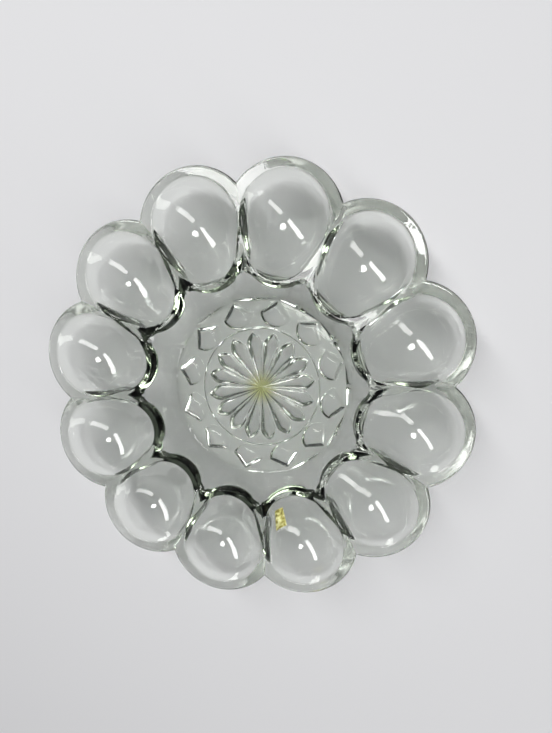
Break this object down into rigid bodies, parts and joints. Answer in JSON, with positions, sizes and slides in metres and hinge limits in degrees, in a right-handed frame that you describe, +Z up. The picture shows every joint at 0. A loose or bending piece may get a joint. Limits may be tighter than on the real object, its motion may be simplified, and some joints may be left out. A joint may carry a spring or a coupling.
{
  "type": "deviled egg platter",
  "caption": "Round pressed-glass egg platter with a scalloped rim, a ring of egg-shaped wells and a sunken centre patterned underneath",
  "frame": {"origin": "on the table under the middle of the platter", "axes": "+Z up, +X through the middle of one egg well, +Y through the middle of another"},
  "size_m": [0.26, 0.26, 0.027],
  "materials": {
    "clear_glass": "fire-polished clear pressed glass with a faint grey-green tint in its thick edges",
    "gold_foil": "creased, slightly worn metallic foil, blank"
  },
  "bodies": {
    "root": {"glass_platter": "clear_glass", "foil_label": "gold_foil"}
  },
  "joints": []
}
